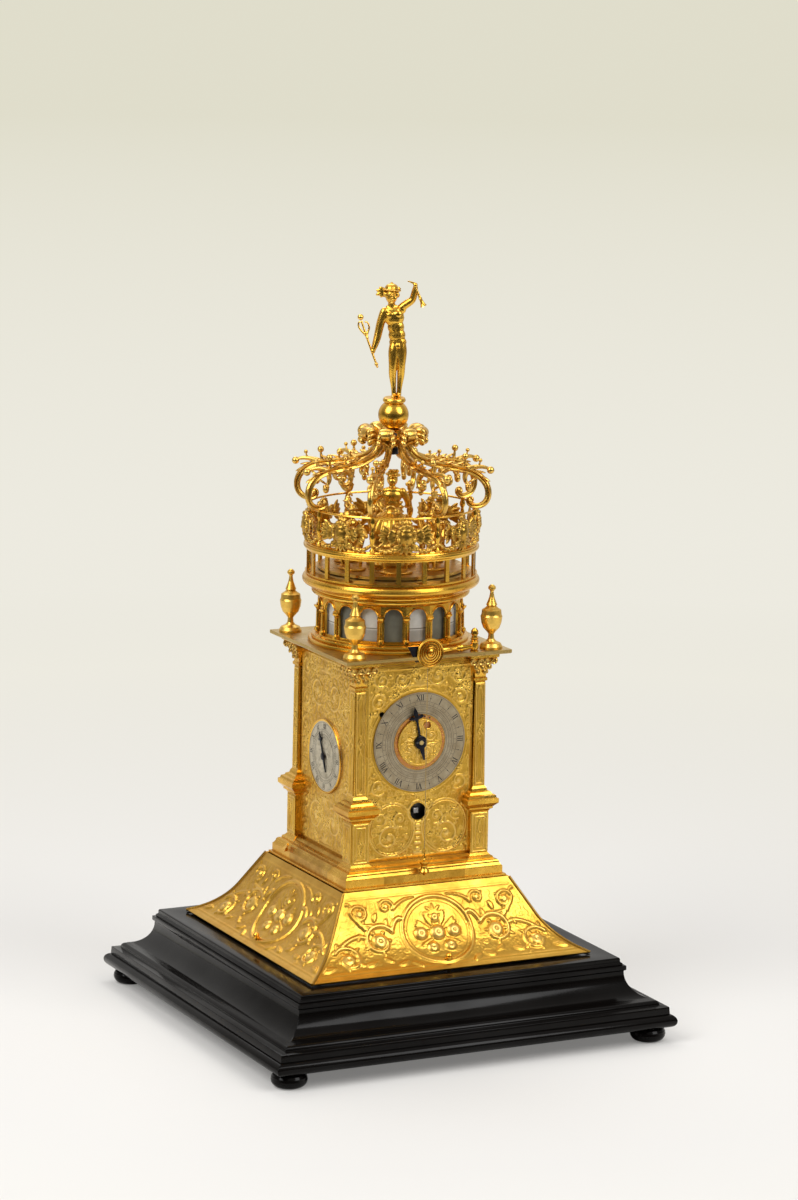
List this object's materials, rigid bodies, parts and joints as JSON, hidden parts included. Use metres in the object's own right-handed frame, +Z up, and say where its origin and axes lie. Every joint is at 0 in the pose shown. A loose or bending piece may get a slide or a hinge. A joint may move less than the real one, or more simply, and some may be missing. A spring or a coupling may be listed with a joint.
{
  "type": "astronomical automaton clock",
  "caption": "Gilt tower table clock: wide dark base, embossed skirt, square case with dials and corner columns, arcaded drum, gallery, open scroll crown and standing figure.",
  "frame": {"origin": "on the table, under the middle of the four feet", "axes": "-Y is the front with the main dial, +Z is up, +X is the right seen from the front"},
  "size_m": [0.3, 0.3, 0.5129],
  "materials": {
    "ebony": "polished, dark",
    "gilt_brass": "fire gilt, aged, satin",
    "silvered": "silvered brass, dull",
    "copper": "copper red, satin",
    "blued_steel": "dark blued steel",
    "steel": "filed steel",
    "wheel_brass": "satin",
    "bell_metal": "cast bell metal",
    "deck_brass": "dull",
    "thread": "twisted silk thread"
  },
  "bodies": {
    "case": {"bun_feet": "ebony", "base_plate": "ebony", "base_mouldings": "ebony", "base_top_board": "ebony", "skirt_shell": "gilt_brass", "skirt_studs": "gilt_brass", "case_floor": "gilt_brass", "plinth_mouldings": "gilt_brass", "corner_pillars": "gilt_brass", "pillar_capitals": "gilt_brass", "front_panel": "gilt_brass", "left_panel": "gilt_brass", "right_panel": "gilt_brass", "door_hinge_pins": "steel", "cornice_mouldings": "gilt_brass", "top_plate": "gilt_brass", "urn_finials": "gilt_brass", "hour_ring": "silvered", "left_dial": "silvered", "right_dial": "silvered", "plumb_post": "gilt_brass", "drum_base": "gilt_brass", "drum_arcade": "gilt_brass", "drum_panes": "silvered", "drum_cornice": "gilt_brass", "gallery_deck": "deck_brass", "gallery_posts": "gilt_brass", "gallery_rail": "gilt_brass", "mask_ring": "gilt_brass", "crown_arches": "gilt_brass", "crown_collar": "gilt_brass", "orb": "gilt_brass", "top_figure": "gilt_brass", "figure_staff": "gilt_brass", "figure_horn": "gilt_brass", "movement_plates": "steel", "movement_uprights": "steel", "bell": "bell_metal"},
    "third": {"third_wheel": "wheel_brass"},
    "hour": {"hour_hand": "blued_steel", "hour_wheel": "wheel_brass"},
    "fusee": {"going_fusee": "wheel_brass"},
    "barrel": {"going_barrel": "wheel_brass"},
    "crown_wheel_arbor": {"crown_wheel": "wheel_brass"},
    "alarm": {"alarm_disc": "copper"},
    "centre": {"centre_disc": "gilt_brass"},
    "left_pointer": {"left_hand": "blued_steel"},
    "right_pointer": {"right_hand": "blued_steel"},
    "carousel": {"carousel_table": "gilt_brass", "carousel_arbor": "steel", "carousel_figures": "gilt_brass"},
    "strike": {"strike_barrel": "wheel_brass"},
    "hammer": {"bell_hammer": "steel"},
    "balance": {"balance_verge": "steel"},
    "door": {"rear_door": "gilt_brass"},
    "door_catch": {"door_latch": "gilt_brass"},
    "case_lever": {"case_latch": "gilt_brass"},
    "arm": {"plumb_arm": "gilt_brass"},
    "plumb": {"plumb_line": "thread", "plumb_bob": "gilt_brass"}
  },
  "joints": [
    {"name": "third_turn", "type": "hinge", "parent": "case", "child": "third", "pos_m": [0, 0, 0.1749], "axis": [0, 1, 0], "continuous": true},
    {"name": "hour_turn", "type": "hinge", "parent": "case", "child": "hour", "pos_m": [0, 0, 0.2019], "axis": [0, 1, 0], "continuous": true},
    {"name": "fusee_turn", "type": "hinge", "parent": "case", "child": "fusee", "pos_m": [0, 0, 0.1533], "axis": [0, 1, 0], "continuous": true},
    {"name": "barrel_turn", "type": "hinge", "parent": "case", "child": "barrel", "pos_m": [-0.026, 0, 0.1533], "axis": [0, 1, 0], "continuous": true},
    {"name": "crown_wheel_turn", "type": "hinge", "parent": "case", "child": "crown_wheel_arbor", "pos_m": [0.0186, 0, 0.1749], "axis": [0, 1, 0], "continuous": true},
    {"name": "alarm_turn", "type": "hinge", "parent": "case", "child": "alarm", "pos_m": [0, 0, 0.2019], "axis": [0, 1, 0], "continuous": true},
    {"name": "centre_turn", "type": "hinge", "parent": "case", "child": "centre", "pos_m": [0, 0, 0.2019], "axis": [0, 1, 0], "continuous": true},
    {"name": "left_pointer_turn", "type": "hinge", "parent": "case", "child": "left_pointer", "pos_m": [-0.0475, 0, 0.1859], "axis": [1, 0, 0], "continuous": true},
    {"name": "right_pointer_turn", "type": "hinge", "parent": "case", "child": "right_pointer", "pos_m": [0.0475, 0, 0.1859], "axis": [-1, 0, 0], "continuous": true},
    {"name": "carousel_turn", "type": "hinge", "parent": "case", "child": "carousel", "pos_m": [0, 0, 0.317], "axis": [0, 0, 1], "continuous": true},
    {"name": "strike_turn", "type": "hinge", "parent": "case", "child": "strike", "pos_m": [0.02, 0, 0.133], "axis": [0, 1, 0], "continuous": true},
    {"name": "hammer_swing", "type": "hinge", "parent": "case", "child": "hammer", "pos_m": [0.035, 0, 0.256], "axis": [0, 1, 0], "range_deg": [0, 12]},
    {"name": "balance_swing", "type": "hinge", "parent": "case", "child": "balance", "pos_m": [0.0186, -0.008, 0.236], "axis": [0, 0, 1], "range_deg": [-50, 50]},
    {"name": "door_hinge", "type": "hinge", "parent": "case", "child": "door", "pos_m": [0.039, 0.04625, 0.188], "axis": [0, 0, -1], "range_deg": [0, 90]},
    {"name": "door_catch_turn", "type": "hinge", "parent": "door", "child": "door_catch", "pos_m": [-0.036, 0.0475, 0.188], "axis": [0, 1, 0], "range_deg": [0, 90]},
    {"name": "case_lever_turn", "type": "hinge", "parent": "case", "child": "case_lever", "pos_m": [-0.0597, 0.037, 0.113], "axis": [1, 0, 0], "range_deg": [0, 60]},
    {"name": "arm_turn", "type": "hinge", "parent": "case", "child": "arm", "pos_m": [0.036, -0.057, 0.2672], "axis": [0, 0, 1], "range_deg": [0, 80]},
    {"name": "plumb_swing", "type": "hinge", "parent": "arm", "child": "plumb", "pos_m": [-0.0027, -0.064, 0.2566], "axis": [0, 1, 0], "range_deg": [-8, 8]}
  ],
  "couplings": [
    {"joint": "hour_turn", "follows": "third_turn", "ratio": -0.66667},
    {"joint": "fusee_turn", "follows": "third_turn", "ratio": -0.2},
    {"joint": "barrel_turn", "follows": "third_turn", "ratio": -0.16},
    {"joint": "crown_wheel_turn", "follows": "third_turn", "ratio": -6.75}
  ]
}
